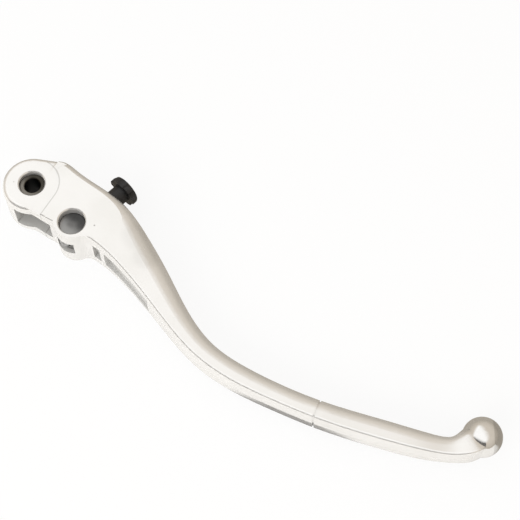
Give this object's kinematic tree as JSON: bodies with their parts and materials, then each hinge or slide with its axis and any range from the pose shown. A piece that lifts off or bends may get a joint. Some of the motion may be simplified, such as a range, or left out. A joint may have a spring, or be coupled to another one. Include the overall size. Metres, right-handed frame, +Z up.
{
  "type": "motorcycle clutch lever",
  "caption": "Polished forged clutch lever with a thick head, S-shaped arm and ball end, a loose pivot bush, a cross barrel and a fluted black adjuster knob that screws in and out.",
  "frame": {"origin": "on the pivot axis, at the middle of the lever's height", "axes": "+Z up along the pivot axis, +X from the pivot towards the ball end, +Y towards the front of the lever, where the knob is"},
  "size_m": [0.2149, 0.0519, 0.0204],
  "materials": {
    "polished_aluminium": "polished, lightly handled",
    "bush_steel": "dark, turned",
    "barrel_steel": "faced on a lathe",
    "knob_plastic": "matte black, moulded",
    "screw_steel": "zinc plated"
  },
  "bodies": {
    "lever_arm": {"lever": "polished_aluminium", "cross_barrel": "barrel_steel"},
    "bush": {"pivot_bush": "bush_steel"},
    "thrust": {"thrust_tip": "screw_steel"},
    "adjuster": {"adjuster_screw": "screw_steel", "adjuster_knob": "knob_plastic"}
  },
  "joints": [
    {"name": "bush_turn", "type": "hinge", "parent": "lever_arm", "child": "bush", "pos_m": [0, 0, 0], "axis": [0, 0, 1], "continuous": true},
    {"name": "adjuster_travel", "type": "slide", "parent": "lever_arm", "child": "thrust", "axis": [0.2521, 0.9677, 0], "range_m": [0, 0.002]},
    {"name": "knob_turn", "type": "hinge", "parent": "thrust", "child": "adjuster", "pos_m": [0.0227, -0.0061, 0], "axis": [0.2521, 0.9677, 0], "range_deg": [0, 945]}
  ],
  "couplings": [
    {"joint": "knob_turn", "follows": "adjuster_travel", "rad_per_m": 7854}
  ]
}
